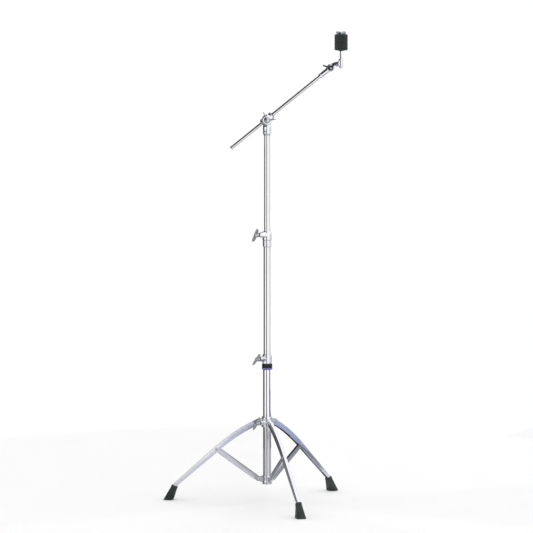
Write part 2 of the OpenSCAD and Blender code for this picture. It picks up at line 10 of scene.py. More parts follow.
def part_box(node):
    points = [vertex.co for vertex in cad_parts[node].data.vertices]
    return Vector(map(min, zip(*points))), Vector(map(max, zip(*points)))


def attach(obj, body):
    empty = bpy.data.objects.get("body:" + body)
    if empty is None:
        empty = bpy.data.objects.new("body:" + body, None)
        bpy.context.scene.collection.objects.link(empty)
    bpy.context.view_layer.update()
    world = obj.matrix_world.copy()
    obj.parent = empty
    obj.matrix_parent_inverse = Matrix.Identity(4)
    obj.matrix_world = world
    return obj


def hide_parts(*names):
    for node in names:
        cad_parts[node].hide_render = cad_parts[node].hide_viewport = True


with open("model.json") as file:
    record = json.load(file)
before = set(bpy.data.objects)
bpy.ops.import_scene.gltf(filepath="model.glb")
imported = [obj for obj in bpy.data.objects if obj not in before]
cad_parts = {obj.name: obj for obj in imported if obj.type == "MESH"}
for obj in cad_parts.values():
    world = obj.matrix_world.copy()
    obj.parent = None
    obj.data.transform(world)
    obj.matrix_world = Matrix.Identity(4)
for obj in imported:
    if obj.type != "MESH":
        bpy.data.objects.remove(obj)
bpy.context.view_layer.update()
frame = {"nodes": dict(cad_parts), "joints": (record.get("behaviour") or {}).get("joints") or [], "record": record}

# Sizes and places below are in millimetres; solid() turns them into metres.
MM = 0.001
UP = Vector((0, 0, 1))
BACK = Vector((0, 1, 0))
joints = {joint["name"]: joint for joint in frame["joints"]}
mounts = {mount["name"]: mount for mount in frame["record"]["mounts"]}
body_of_node = {
    node: body
    for body, nodes in frame["record"]["behaviour"]["bodies"].items()
    for node in nodes
}
slot_of_node = {part["node"]: part["material_slot"] for part in frame["record"]["subparts"]}


def pivot(name):
    """The pivot of a joint, in millimetres."""
    return Vector(joints[name]["pos_m"]) / MM


def low(node):
    """The low corner of a CAD node's box, in millimetres."""
    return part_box(node)[0] / MM


def high(node):
    """The high corner of a CAD node's box, in millimetres."""
    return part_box(node)[1] / MM


# The rods and tubes that pass through castings, and the clearance of their bores
BOOM_R = 5
LINER_R = 6.6
BOLT_R = 4
STUD_R = 3
ROD_R = 3.95
EYE_R = 9.4
BORE_GAP = 0.05
BASE_BORE = high("base_tube").x + BORE_GAP
MIDDLE_BORE = high("middle_tube").x + BORE_GAP
UPPER_BORE = high("upper_tube").x + BORE_GAP
POST = Matrix.Identity(4)

# Smaller castings keep finer detail than cast() does by itself
FINE_VOXEL = 0.45
FINE_PASSES = 4


# ---- Mesh tools -------------------------------------------------------------


def place_at(origin, z, x=UP):
    """A place whose Z runs along z and whose X leans towards x."""
    z = Vector(z).normalized()
    x = Vector(x)
    x = (x - z * x.dot(z)).normalized()
    turn = Matrix((x, z.cross(x), z)).transposed().to_4x4()
    return Matrix.Translation(origin) @ turn


def circle(count):
    """Equal turns round a circle, in radians."""
    return [tau * i / count for i in range(count)]


def link(name, data):
    piece = bpy.data.objects.new(name, data)
    bpy.context.scene.collection.objects.link(piece)
    return piece


def solid(name, points, faces, crease=40):
    """A mesh from points in millimetres, creased where faces meet sharply."""
    mesh = bpy.data.meshes.new(name)
    mesh.from_pydata([Vector(point) * MM for point in points], [], faces)
    work = bmesh.new()
    work.from_mesh(mesh)
    bmesh.ops.recalc_face_normals(work, faces=work.faces)
    work.to_mesh(mesh)
    work.free()
    mesh.shade_smooth()
    mesh.set_sharp_from_angle(angle=radians(crease))
    return link(name, mesh)


def loft(name, rings, closed=False, crease=40):
    """A skin over rings of equally many points, with flat ends unless it is closed."""
    count = len(rings[0])
    points = [point for ring in rings for point in ring]
    faces = []
    for i in range(len(rings) if closed else len(rings) - 1):
        a, b = i * count, (i + 1) % len(rings) * count
        for j in range(count):
            k = (j + 1) % count
            faces.append((a + j, a + k, b + k, b + j))
    if not closed:
        faces.append(tuple(reversed(range(count))))
        faces.append(tuple(range(len(points) - count, len(points))))
    return solid(name, points, faces, crease)


def arc(x, y, r, start, end, steps=6):
    """Points round a centre, from a start to an end angle in degrees."""
    turns = [radians(start + (end - start) * i / steps) for i in range(steps + 1)]
    return [(x + r * cos(turn), y + r * sin(turn)) for turn in turns]


def turned(name, outline, place, bored=False, segments=72):
    """A solid turned about the Z of a place, from (radius, height) points."""
    rings = [
        [place @ Vector((r * cos(turn), r * sin(turn), h)) for turn in circle(segments)]
        for r, h in outline
    ]
    return loft(name, rings, bored)


def plate(name, outline, thickness, place):
    """A flat plate from an outline in the XY of a place, centred on its Z."""
    half = thickness / 2
    rim = min(0.3, half / 2)
    middle = sum((Vector(point) for point in outline), Vector((0, 0))) / len(outline)
    rings = []
    for h, inset in ((-half, rim), (rim - half, 0), (half - rim, 0), (half, rim)):
        ring = []
        for point in outline:
            inward = (middle - Vector(point)).normalized() * inset
            ring.append(place @ Vector((point[0] + inward.x, point[1] + inward.y, h)))
        rings.append(ring)
    return loft(name, rings)


def threaded(name, place, radius, start, end, pitch=1.25, depth=0.55, segments=28):
    """A screw thread about the Z of a place, with one true helical groove."""
    rows_per_turn = 6
    rows = int((end - start) / pitch * rows_per_turn)
    rings = []
    for row in range(rows + 1):
        h = start + (end - start) * row / rows
        taper = 0.85 + 0.15 * min(1, (rows - row + 1) / 5)
        ring = []
        for turn in circle(segments):
            groove = 0.5 - 0.5 * cos(tau * h / pitch - turn)
            r = radius * taper - depth * groove
            ring.append(place @ Vector((r * cos(turn), r * sin(turn), h)))
        rings.append(ring)
    return loft(name, rings, crease=80)


def join(name, parts):
    """Several solids as the shells of one piece."""
    work = bmesh.new()
    for part in parts:
        work.from_mesh(part.data)
        bpy.data.objects.remove(part)
    mesh = bpy.data.meshes.new(name)
    work.to_mesh(mesh)
    work.free()
    return link(name, mesh)


def cast(name, parts, voxel=0.5, passes=5, bores=()):
    """Solids melted into one casting, softly filleted, then bored.

    A bore is its place, radius, start and end.
    """
    piece = join(name, parts)
    melt = piece.modifiers.new("melt", "REMESH")
    melt.mode = "VOXEL"
    melt.voxel_size = voxel * MM
    soften = piece.modifiers.new("soften", "SMOOTH")
    soften.factor = 0.5
    soften.iterations = passes
    cutters = [turned("bore", [(r, start), (r, end)], place) for place, r, start, end in bores]
    for cutter in cutters:
        drill = piece.modifiers.new("drill", "BOOLEAN")
        drill.operation = "DIFFERENCE"
        drill.solver = "MANIFOLD"
        drill.object = cutter
    graph = bpy.context.evaluated_depsgraph_get()
    mesh = bpy.data.meshes.new_from_object(piece.evaluated_get(graph))
    piece.modifiers.clear()
    piece.data = mesh
    for cutter in cutters:
        bpy.data.objects.remove(cutter)
    mesh.shade_smooth()
    mesh.set_sharp_from_angle(angle=radians(50))
    return piece


def set_piece(piece, node, material=None):
    """Lets a piece stand for a CAD node, in the node's own look unless another is given."""
    piece.data.materials.clear()
    piece.data.materials.append(material or look_of(node))
    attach(piece, body_of_node[node])
    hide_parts(node)


# ---- Materials --------------------------------------------------------------


class Look:
    """A material with one Principled shader, detailed procedurally in its object's space."""

    def __init__(self, name, colour, metallic, roughness):
        self.material = bpy.data.materials.new(name)
        self.material.use_nodes = True
        self.nodes = self.material.node_tree.nodes
        self.links = self.material.node_tree.links
        self.shader = self.nodes["Principled BSDF"]
        self.place = self.nodes.new("ShaderNodeTexCoord").outputs["Object"]
        self.height = None
        self.set(**{"Base Color": (*colour, 1), "Metallic": metallic, "Roughness": roughness})

    def set(self, **sockets):
        for socket, value in sockets.items():
            self.shader.inputs[socket].default_value = value

    def noise(self, scale, detail=3, stretch=(1, 1, 1)):
        """A noise with about scale cells to a metre, stretched along the object's axes."""
        mapping = self.nodes.new("ShaderNodeMapping")
        mapping.inputs["Scale"].default_value = stretch
        self.links.new(self.place, mapping.inputs["Vector"])
        texture = self.nodes.new("ShaderNodeTexNoise")
        texture.inputs["Scale"].default_value = scale
        texture.inputs["Detail"].default_value = detail
        self.links.new(mapping.outputs["Vector"], texture.inputs["Vector"])
        return texture.outputs["Fac"]

    def speckle(self, scale):
        """Small rounded cells, for fibres and pores."""
        texture = self.nodes.new("ShaderNodeTexVoronoi")
        texture.inputs["Scale"].default_value = scale
        self.links.new(self.place, texture.inputs["Vector"])
        return texture.outputs["Distance"]

    def rough(self, value, start, end):
        """Runs the roughness from a start to an end over a noise's usual range."""
        node = self.nodes.new("ShaderNodeMapRange")
        limits = {"From Min": 0.3, "From Max": 0.7, "To Min": start, "To Max": end}
        for socket, limit in limits.items():
            node.inputs[socket].default_value = limit
        self.links.new(value, node.inputs["Value"])
        self.links.new(node.outputs["Result"], self.shader.inputs["Roughness"])

    def colours(self, value, *stops):
        """Runs the base colour through (position, colour) stops."""
        ramp = self.nodes.new("ShaderNodeValToRGB")
        elements = ramp.color_ramp.elements
        while len(elements) < len(stops):
            elements.new(0.5)
        for element, (position, colour) in zip(elements, stops):
            element.position = position
            element.color = (*colour, 1)
        self.links.new(value, ramp.inputs["Fac"])
        self.links.new(ramp.outputs["Color"], self.shader.inputs["Base Color"])

    def bump(self, value, strength, depth):
        """Raises the surface by a texture, to a depth in millimetres."""
        node = self.nodes.new("ShaderNodeBump")
        node.inputs["Strength"].default_value = strength
        node.inputs["Distance"].default_value = depth * MM
        self.links.new(value, node.inputs["Height"])
        if self.height is not None:
            self.links.new(self.height, node.inputs["Normal"])
        self.height = node.outputs["Normal"]
        self.links.new(self.height, self.shader.inputs["Normal"])


def chrome(name, colour, dark, low_rough, high_rough, brush=(1, 1, 1), ripple=0.01):
    """Plated metal: faint clouding, hairline polishing marks and a few dull patches."""
    look = Look(name, colour, 1.0, low_rough)
    look.colours(look.noise(14, 4), (0.25, dark), (0.6, colour))
    look.rough(look.noise(60, 5, brush), low_rough, high_rough)
    look.bump(look.noise(420, 2, brush), 0.15, ripple)
    return look.material


def make_chrome_tube():
    return chrome("tube_chrome", (0.95, 0.95, 0.96), (0.9, 0.9, 0.92), 0.035, 0.09, (1, 1, 0.04))


def make_chrome_casting():
    return chrome("casting_chrome", (0.94, 0.94, 0.97), (0.84, 0.85, 0.92), 0.09, 0.17, ripple=0.03)


def make_polished_casting():
    return chrome("polished_casting", (0.93, 0.94, 0.98), (0.84, 0.86, 0.93), 0.04, 0.1, ripple=0.02)


def make_chrome_sheet():
    return chrome("sheet_chrome", (0.9, 0.91, 0.95), (0.82, 0.84, 0.92), 0.07, 0.18, (1, 1, 1.6))


def make_wing_metal():
    return chrome("wing_chrome", (0.66, 0.68, 0.69), (0.46, 0.48, 0.5), 0.1, 0.24, ripple=0.04)


def make_nut_metal():
    return chrome("nut_chrome", (0.44, 0.48, 0.55), (0.26, 0.29, 0.34), 0.1, 0.24, ripple=0.04)


# Painted shade and painted reflection: a near-black metal look. On the wing bolts' threads it stands for the shade
# between hub and boss, and on the seat tilter's wing nut for the dark reflections of its chrome.
def make_painted_shade_metal():
    look = Look("painted_shade_dark_metal", (0.05, 0.055, 0.06), 0.85, 0.25)
    look.colours(look.noise(40, 3), (0.3, (0.03, 0.035, 0.04)), (0.7, (0.1, 0.105, 0.11)))
    look.rough(look.noise(150, 4), 0.16, 0.34)
    look.bump(look.noise(500, 2), 0.15, 0.03)
    return look.material


def make_rivet_steel():
    look = Look("rivet_steel", (0.76, 0.76, 0.75), 1.0, 0.22)
    look.colours(look.noise(90, 4), (0.3, (0.6, 0.6, 0.59)), (0.65, (0.84, 0.84, 0.83)))
    look.rough(look.noise(300, 4), 0.14, 0.32)
    look.bump(look.noise(900, 3), 0.2, 0.05)
    return look.material


def make_rubber():
    look = Look("foot_rubber", (0.03, 0.045, 0.042), 0.0, 0.6)
    look.set(**{"Specular IOR Level": 0.35, "Sheen Weight": 0.15, "Sheen Roughness": 0.5})
    dust = look.noise(30, 5)
    look.colours(dust, (0.3, (0.014, 0.022, 0.02)), (0.7, (0.038, 0.05, 0.046)))
    look.rough(look.noise(220, 4), 0.5, 0.78)
    look.bump(look.speckle(1500), 0.25, 0.12)
    look.bump(look.noise(350, 4), 0.25, 0.2)
    return look.material


def make_black_plastic():
    look = Look("black_plastic", (0.01, 0.012, 0.012), 0.0, 0.35)
    look.set(**{"Specular IOR Level": 0.3})
    look.colours(look.noise(50, 3), (0.3, (0.006, 0.008, 0.008)), (0.7, (0.018, 0.021, 0.022)))
    look.rough(look.noise(240, 4), 0.24, 0.42)
    look.bump(look.speckle(2200), 0.12, 0.05)
    return look.material


def make_nylon():
    look = Look("nylon", (0.03, 0.03, 0.03), 0.0, 0.5)
    look.colours(look.noise(70, 3), (0.3, (0.018, 0.018, 0.018)), (0.7, (0.04, 0.04, 0.04)))
    look.rough(look.noise(200, 3), 0.4, 0.6)
    look.bump(look.noise(1200, 3), 0.15, 0.05)
    return look.material


def make_violet_plastic():
    look = Look("violet_plastic", (0.2, 0.17, 0.62), 0.0, 0.3)
    look.set(**{"Coat Weight": 0.3, "Coat Roughness": 0.15})
    look.colours(look.noise(160, 3), (0.3, (0.1, 0.08, 0.42)), (0.7, (0.3, 0.26, 0.8)))
    look.rough(look.noise(260, 3), 0.24, 0.4)
    look.bump(look.noise(900, 2), 0.1, 0.04)
    return look.material


def make_felt():
    look = Look("felt", (0.022, 0.028, 0.026), 0.0, 0.95)
    look.set(**{"Sheen Weight": 0.12, "Sheen Roughness": 0.6, "Specular IOR Level": 0.1})
    fibres = look.noise(1700, 6, (1, 1, 0.6))
    look.colours(fibres, (0.3, (0.011, 0.016, 0.014)), (0.72, (0.036, 0.046, 0.042)))
    look.rough(look.noise(500, 3), 0.85, 1.0)
    look.bump(fibres, 0.6, 0.5)
    look.bump(look.speckle(1800), 0.3, 0.25)
    return look.material


looks = {
    "chrome_tube": make_chrome_tube(),
    "chrome_casting": make_chrome_casting(),
    "chrome_sheet": make_chrome_sheet(),
    "rivet_steel": make_rivet_steel(),
    "wing_metal": make_wing_metal(),
    "nut_chrome": make_nut_metal(),
    "dark_metal": make_painted_shade_metal(),
    # dark_metal is painted shade and painted reflection, not a finish of the real metal
    "foot_rubber": make_rubber(),
    "black_plastic": make_black_plastic(),
    "nylon": make_nylon(),
    "violet_plastic": make_violet_plastic(),
    "felt": make_felt(),
}

# Castings with a finer polish than their slot's own look
POLISHED = ("lower_collar", "upper_collar", "tilter_base", "boom_holder", "boom_neck",
            "seat_link")
polished_look = make_polished_casting()


def look_of(node):
    return polished_look if node in POLISHED else looks[slot_of_node[node]]


# ---- Tripod -----------------------------------------------------------------

SIDES = ("left", "right", "front")
LEG_W = 12
KNEE_GRIP = LEG_W - 0.6
LEG_CHANNEL_START = 8
LEG_LUG_REACH = 12
STRUT_W = 8.6
SHEET = 1.3
# A lug stands a little proud of its channel, so that the two don't share a face
LUG_SHEET = SHEET + 0.16
LEG_SLOPE = radians(41.5)
LEG_TOP_HALF = 9
LEG_KNEE_HALF = 8.5
LEG_END_HALF = 6
LEG_LUG_R = 9.5
STRUT_HALF = 7.8
STRUT_LOW_R = 7
STRUT_KNEE_R = 6.6
LEG_END_INSET = 17.5
FOOT_LEAN = 0.47

strut_pivot_z = pivot("leg_fold").z
collar_pivot_z = pivot("collar_level").z
pivot_r = pivot("collar_level").xy.length
knee_r = pivot("left_knee").xy.length
knee_z = pivot("left_knee").z
sole_r = Vector(mounts["foot_sole_left"]["pos_m"]).xy.length / MM
knee_run = knee_r - pivot_r
leg_run = sole_r - LEG_END_INSET - pivot_r
slope_end = math.tan(LEG_SLOPE)
slope_start = 2 * (collar_pivot_z - knee_z) / knee_run - slope_end


class Plane:
    """The upright plane of one leg: points are (distance from the post, across, height)."""

    def __init__(self, side):
        sole = Vector(mounts[f"foot_sole_{side}"]["pos_m"])
        self.out = Vector((sole.x, sole.y, 0)).normalized()
        self.across = UP.cross(self.out)

    def at(self, r, across, z):
        return self.out * r + self.across * across + UP * z

    def pin_place(self, r, z):
        """A place for a pin through the leg, whose Z runs across."""
        return place_at(self.at(r, 0, z), self.across)

    def flat_place(self, across):
        """A place for a plate whose XY is this plane."""
        return place_at(self.across * across, -self.across, self.out)


def leg_z(run):
    """Height of a leg's middle line, at a run outwards from its upper pivot."""
    if run > knee_run:
        return knee_z - slope_end * (run - knee_run)
    bend = (slope_end - slope_start) * run * run / (2 * knee_run)
    return collar_pivot_z - slope_start * run - bend


def leg_fall(run):
    """Slope of a leg's middle line, in radians: it steepens as far as the knee."""
    share = min(1, run / knee_run)
    return math.atan(slope_start + (slope_end - slope_start) * share)


def leg_half(run):
    """Half the depth of a leg's channel."""
    if run <= knee_run:
        return LEG_TOP_HALF + (LEG_KNEE_HALF - LEG_TOP_HALF) * run / knee_run
    share = (run - knee_run) / (leg_run - knee_run)
    return LEG_KNEE_HALF + (LEG_END_HALF - LEG_KNEE_HALF) * share


def channel(width, half, web_side, corner=2.6):
    """Outline of a bent sheet channel, as (across, depth) points, its web on one side."""
    w = width / 2
    inner = corner - SHEET
    outside = [(-w, -half), *arc(corner - w, half - corner, corner, 180, 90)]
    outside += [*arc(w - corner, half - corner, corner, 90, 0), (w, -half)]
    inside = [(w - SHEET, -half), *arc(w - corner, half - corner, inner, 0, 90)]
    inside += [*arc(corner - w, half - corner, inner, 90, 180), (SHEET - w, -half)]
    return [(across, depth * web_side) for across, depth in outside + inside]


def lug(name, plane, at, r, reach, half, across):
    """A side plate of a channel, pressed a little proud, round about its pivot."""
    at = Vector(at)
    reach = Vector(reach)
    along = (reach - at).normalized()
    normal = Vector((-along.y, along.x))
    start = math.degrees(math.atan2(normal.y, normal.x))
    outline = arc(at.x, at.y, r, start, start + 180, 14)
    outline += [tuple(reach - normal * half), tuple(reach + normal * half)]
    return plate(name, outline, LUG_SHEET, plane.flat_place(across))


def rivet(name, plane, r, z, grip):
    """A pin across a leg with a dome at each end."""
    head_r = 4.6
    head_h = 2.0
    place = plane.pin_place(r, z)
    half = grip / 2 + 0.3
    shaft = turned(name + "_pin", [(3, -half), (3, half)], place, segments=32)
    outline = [(head_r, 0), (head_r, head_h * 0.35), (head_r * 0.86, head_h * 0.68)]
    outline += [(head_r * 0.62, head_h * 0.9), (head_r * 0.3, head_h), (0.4, head_h * 0.93)]
    heads = []
    for flip in (1, -1):
        end = place @ Matrix.Translation((0, 0, half * flip))
        if flip < 0:
            end = end @ Matrix.Rotation(pi, 4, "X")
        heads.append(turned(name + "_head", outline, end, segments=32))
    return [shaft, *heads]


def make_leg(side):
    """A bent sheet channel with two lugs round its upper pivot, and its knee rivet."""
    plane = Plane(side)
    steps = 30
    rings = []
    for i in range(steps + 1):
        run = LEG_CHANNEL_START + (leg_run - LEG_CHANNEL_START) * i / steps
        fall = leg_fall(run)
        rings.append([
            plane.at(pivot_r + run + depth * sin(fall), across, leg_z(run) + depth * cos(fall))
            for across, depth in channel(LEG_W, leg_half(run), 1)
        ])
    shells = [loft("leg_channel", rings)]
    fall = leg_fall(LEG_CHANNEL_START)
    reach = (pivot_r + LEG_LUG_REACH * cos(fall), collar_pivot_z - LEG_LUG_REACH * sin(fall))
    for flip in (1, -1):
        across = flip * (LEG_W - SHEET) / 2
        shells.append(lug("leg_lug", plane, (pivot_r, collar_pivot_z), LEG_LUG_R, reach,
                          LEG_TOP_HALF, across))
    leg = join(f"leg_{side}_channel", shells)
    set_piece(leg, f"leg_{side}")
    knee = join(f"knee_{side}_pin", rivet("knee", plane, knee_r, knee_z, KNEE_GRIP))
    set_piece(knee, f"knee_rivet_{side}")


def make_strut(side):
    """A straight sheet channel with two lugs at each end, deeper in its middle."""
    plane = Plane(side)
    low_end = Vector((pivot_r, strut_pivot_z))
    knee = Vector((knee_r, knee_z))
    along = (knee - low_end).normalized()
    normal = Vector((-along.y, along.x))
    length = (knee - low_end).length
    # Distance along the strut, half depth
    stations = ((4, STRUT_LOW_R), (10, STRUT_HALF - 0.3), (18, STRUT_HALF), (60, STRUT_HALF),
                (length - 24, STRUT_HALF), (length - 10, STRUT_HALF - 0.6),
                (length - 2, STRUT_KNEE_R))
    rings = []
    for distance, half in stations:
        middle = low_end + along * distance
        rings.append([
            plane.at(middle.x + normal.x * depth, across, middle.y + normal.y * depth)
            for across, depth in channel(STRUT_W, half, -1, 2.2)
        ])
    shells = [loft("strut_channel", rings)]
    for flip in (1, -1):
        across = flip * (STRUT_W - SHEET) / 2
        shells.append(lug("strut_lug", plane, low_end, STRUT_LOW_R, low_end + along * 12,
                          STRUT_LOW_R, across))
        shells.append(lug("strut_lug", plane, knee, STRUT_KNEE_R, knee - along * 8,
                          STRUT_KNEE_R, across))
    strut = join(f"strut_{side}_channel", shells)
    set_piece(strut, f"strut_{side}")


def rounded_square(half_x, half_y, corner):
    """Points round a rectangle with rounded corners."""
    x, y = half_x - corner, half_y - corner
    centres = ((x, y), (-x, y), (-x, -y), (x, -y))
    return [point for k, centre in enumerate(centres)
            for point in arc(*centre, corner, 90 * k, 90 * k + 90, 5)]


def make_foot(side):
    """A moulded rubber foot: a ribbed shoe that narrows to a tilted collar round the leg."""
    plane = Plane(side)
    node = f"foot_{side}"
    sole_half, top_half_x, top_half_y = 14.5, 9.2, 8.3
    corner = 5.2
    rim_rise = 3.6
    lean = radians(25)
    top_z = high(node).z - rim_rise
    top_r = sole_r - top_z * FOOT_LEAN
    # Share of the height, swell: the sole's rim, three grooves, the waist and the collar
    levels = [(0, -1.1), (0.02, -0.2), (0.05, 0), (0.12, 0), (0.13, -0.7), (0.155, -0.7),
              (0.165, 0), (0.21, -0.2), (0.22, -0.9), (0.245, -0.9), (0.255, -0.2), (0.3, -0.3),
              (0.31, -1.0), (0.335, -1.0), (0.345, -0.4), (0.5, -0.5), (0.7, -0.5), (0.86, -0.4),
              (0.87, 0.2), (0.97, 0.2), (1.0, -0.5)]
    rings = []
    for share, swell in levels:
        narrow = max(0, (share - 0.1) / 0.9)
        half_x = sole_half + (top_half_x - sole_half) * narrow + swell
        half_y = sole_half + (top_half_y - sole_half) * narrow + swell
        tilt = lean * narrow
        centre_r = sole_r + (top_r - sole_r) * share
        centre_z = top_z * share
        rings.append([
            plane.at(centre_r + x * cos(tilt), y, max(0, centre_z + x * sin(tilt)))
            for x, y in rounded_square(half_x, half_y, corner)
        ])
    foot = loft(f"{node}_shoe", rings, crease=50)
    set_piece(foot, node)


def tongues(z, width, root, below, above):
    """The three tongues of a collar, round about the pivots they carry at a height."""
    round_end = arc(pivot_r, z, 6.9, -80, 80, 12)
    outline = [(root, z - below), *round_end, (root, z + above)]
    return [plate("collar_tongue", outline, width, Plane(side).flat_place(0)) for side in SIDES]


def make_collars():
    """The two collars of the tripod, cast with three tongues each, and their rivets."""
    z0, z1 = low("lower_collar").z, high("lower_collar").z
    r = 15.2
    outline = [(r - 2, z0), (r - 0.3, z0 + 0.6), (r, z0 + 2), (r, z0 + 9), (r - 0.9, z0 + 10.5),
               (r - 0.9, z1 - 9), (r, z1 - 7.5), (r, z1 - 2), (r - 0.4, z1 - 0.6), (r - 2, z1)]
    parts = [turned("collar_body", outline, POST), *tongues(strut_pivot_z, 5.4, 13.5, 11, 9)]
    bores = [(POST, BASE_BORE, z0 - 1, z1 + 1)]
    set_piece(cast("lower_collar_casting", parts, bores=bores), "lower_collar")

    z0, z1 = low("upper_collar").z, high("upper_collar").z
    r = 17.5
    outline = [(r - 2.4, z0), (r - 0.5, z0 + 0.8), (r, z0 + 2.4), (r, z0 + 6), (r - 1, z0 + 7.5),
               (r - 1, z1 - 7.5), (r, z1 - 6), (r, z1 - 2.4), (r - 0.6, z1 - 0.8), (r - 2.6, z1)]
    parts = [turned("collar_body", outline, POST), *tongues(collar_pivot_z, 8.8, 15, 12, 12)]
    parts.append(boss("collar_bolt_turn", 12, 35, 9, 7.5))
    bores = [(POST, BASE_BORE, z0 - 1, z1 + 1), bolt_bore("collar_bolt_turn")]
    set_piece(cast("upper_collar_casting", parts, bores=bores), "upper_collar")

    for node, z, grip in (("lower_rivets", strut_pivot_z, STRUT_W),
                          ("upper_rivets", collar_pivot_z, LEG_W)):
        parts = [part for side in SIDES for part in rivet("pin", Plane(side), pivot_r, z, grip)]
        set_piece(join(f"{node}_domes", parts), node)


# ---- Wing bolts and nuts ----------------------------------------------------


def bolt_place(joint, roll=0):
    """The place of a wing bolt: its Z runs out along the bolt, its X up before the roll."""
    return place_at(pivot(joint), joints[joint]["axis"]) @ Matrix.Rotation(roll, 4, "Z")


def boss(joint, start, end, r1, r2):
    """The round boss of a clamp along its bolt, with a raised rim at its end."""
    outline = [(r1, start), (r1 + (r2 - r1) * 0.8, end - 3), (r2 + 0.2, end - 2.4),
               (r2 + 0.2, end - 0.7), (r2 - 0.6, end)]
    return turned("boss", outline, bolt_place(joint))


def bolt_bore(joint):
    """The bore of a clamp for the thread of its bolt."""
    return bolt_place(joint), BOLT_R + BORE_GAP, 2, 40


def blade(place, turn, hub_z, tip_z, reach, root, middle, tip, thick):
    """One wing: a leaf whose chord lies along the bolt, lofted from the hub to its tip.

    Its chord is root wide at the hub, then middle, then tip, and it ends in a round.
    """
    steps = 16
    inner = 2
    squareness = 0.9
    rings = []
    for i in range(steps + 1):
        share = i / steps
        out = inner + (reach - inner) * share
        along = hub_z + (tip_z - hub_z) * share ** 0.85
        leaf = sin(pi * share) ** 0.8
        chord = root + (tip - root) * share + (middle - (root + tip) / 2) * leaf
        end_round = math.sqrt(max(0.02, 1 - max(0, (share - 0.8) / 0.2) ** 2))
        half_chord = chord / 2 * end_round
        half_thick = (thick / 2 + 1.0 * (1 - share) ** 2) * (0.55 + 0.45 * end_round)
        ring = []
        for around in circle(20):
            x = half_chord * math.copysign(abs(cos(around)) ** squareness, cos(around))
            y = half_thick * math.copysign(abs(sin(around)) ** squareness, sin(around))
            ring.append(place @ Matrix.Rotation(turn, 4, "Z") @ Vector((out, y, along + x)))
        rings.append(ring)
    return loft("blade", rings)


def wing_bolt_head(place, start):
    """Hub and two wings, with a turned collar under the hub and a dimple on its end."""
    hub = [(6.2, start), (7.0, start + 0.8), (7.0, start + 3), (6.2, start + 4.2),
           (5.9, start + 9), (5.4, start + 11.4), (4.2, start + 12.8), (2.2, start + 12.9),
           (1.4, start + 12.1)]
    parts = [turned("hub", hub, place)]
    for turn in (0, pi):
        parts.append(blade(place, turn, start + 8.6, start + 10, reach=24.9, root=14,
                           middle=13.4, tip=7.4, thick=4))
    return parts


WING_BOLTS = (
    # node, joint, roll from upright, start of the hub, tip of the thread
    ("collar_wing_bolt", "collar_bolt_turn", -32, 40, 13.1),
    ("base_wing_bolt", "base_bolt_turn", -40, 34.5, 13.1),
    ("upper_wing_bolt", "upper_bolt_turn", -31, 35, 11.5),
)


def make_wing_bolts():
    """The three wing bolts: a cast head on a thread whose painted dark colour stands for the shade between hub and
    boss.
    """
    for node, joint, roll, start, tip in WING_BOLTS:
        place = bolt_place(joint, radians(roll))
        head = cast(f"{node}_head", wing_bolt_head(place, start), FINE_VOXEL, FINE_PASSES)
        set_piece(head, node)
        thread = threaded(f"{node}_thread", place, BOLT_R, tip, start + 1)
        # The thread takes the dark look as painted shade between hub and boss.
        set_piece(thread, node, looks["dark_metal"])


# Directions of the two wings of each tilter's nut, in degrees from upright towards the left
TILTER_NUT_TURNS = (24, -82)
SEAT_NUT_TURNS = (70, -44)


def v_nut(place, start, hub_r, turns, reach, thick=3.4):
    """A wing nut with two wings in a V, and a flange under its hub."""
    hub = [(hub_r + 1, start), (hub_r + 1.7, start + 0.6), (hub_r + 1.7, start + 1.6),
           (hub_r - 0.2, start + 2.4), (hub_r - 1, start + 9.5), (hub_r - 2, start + 11.3),
           (hub_r - 3.4, start + 12)]
    parts = [turned("hub", hub, place)]
    for turn in turns:
        parts.append(blade(place, radians(turn), start + 4.5, start + 8, reach, root=9,
                           middle=10.5, tip=7.6, thick=thick))
    return parts


# ---- Height clamps ----------------------------------------------------------

UPPER_CLAMP_H = 50
LIP_GAP = 0.35
LIP_H = 4


def clamp_bores(lower_r, upper_r, z0, z1, joint):
    """The bores of a clamp: for the tube it stands on, the lip, and its wing bolt."""
    return [(POST, lower_r, z0 - 1, z1 - LIP_H), (POST, upper_r + LIP_GAP, z0, z1 + 1),
            bolt_bore(joint)]


def make_base_clamp():
    """The domed clamp on the base tube, with a skirt under its bolt."""
    z0, z1 = low("base_clamp").z, high("base_clamp").z
    bolt_z = pivot("base_bolt_turn").z
    r = 14.4
    outline = [(r - 1.2, z0), (r - 0.2, z0 + 1), (r, z0 + 3), (r, z1 - 8), (r - 0.4, z1 - 5)]
    outline += [*arc(r - 3.4, z1 - 3, 3, 12, 84, 5), (11.6, z1 - 0.2)]
    parts = [turned("clamp_body", outline, POST), boss("base_bolt_turn", 8, 31, 9, 7.2)]
    axis = Vector(joints["base_bolt_turn"]["axis"])
    skirt = [(10, bolt_z - 2), (10, z0 + 0.4), (r + 1, z0 + 0.4)]
    skirt += arc(32, z0 - 2, 16.6, 170, 100, 9) + [(30, bolt_z)]
    parts.append(plate("skirt", skirt, 6, place_at((0, 0, 0), axis.cross(UP), axis)))
    bores = clamp_bores(BASE_BORE, MIDDLE_BORE, z0, z1, "base_bolt_turn")
    set_piece(cast("base_clamp_casting", parts, bores=bores), "base_clamp")


def make_upper_clamp():
    """The clamp on the middle tube: a narrow sleeve under a domed head."""
    z0 = low("upper_clamp").z
    z1 = z0 + UPPER_CLAMP_H
    r = 14.6
    outline = [(10.9, z0), (12, z0 + 0.3), (13.1, z0 + 1.6), (13.4, z0 + 3), (13.4, z0 + 20.4),
               (13.7, z0 + 21.6), (14.4, z0 + 23), (r, z0 + 25.4)]
    outline += arc(r - 9, z1 - 9, 9, 4, 58, 8) + [(10.0, z1 - 0.2)]
    parts = [turned("clamp_body", outline, POST), boss("upper_bolt_turn", 6, 31, 12, 6.2)]
    bores = clamp_bores(MIDDLE_BORE, UPPER_BORE, z0, z1, "upper_bolt_turn")
    set_piece(cast("upper_clamp_casting", parts, bores=bores), "upper_clamp")


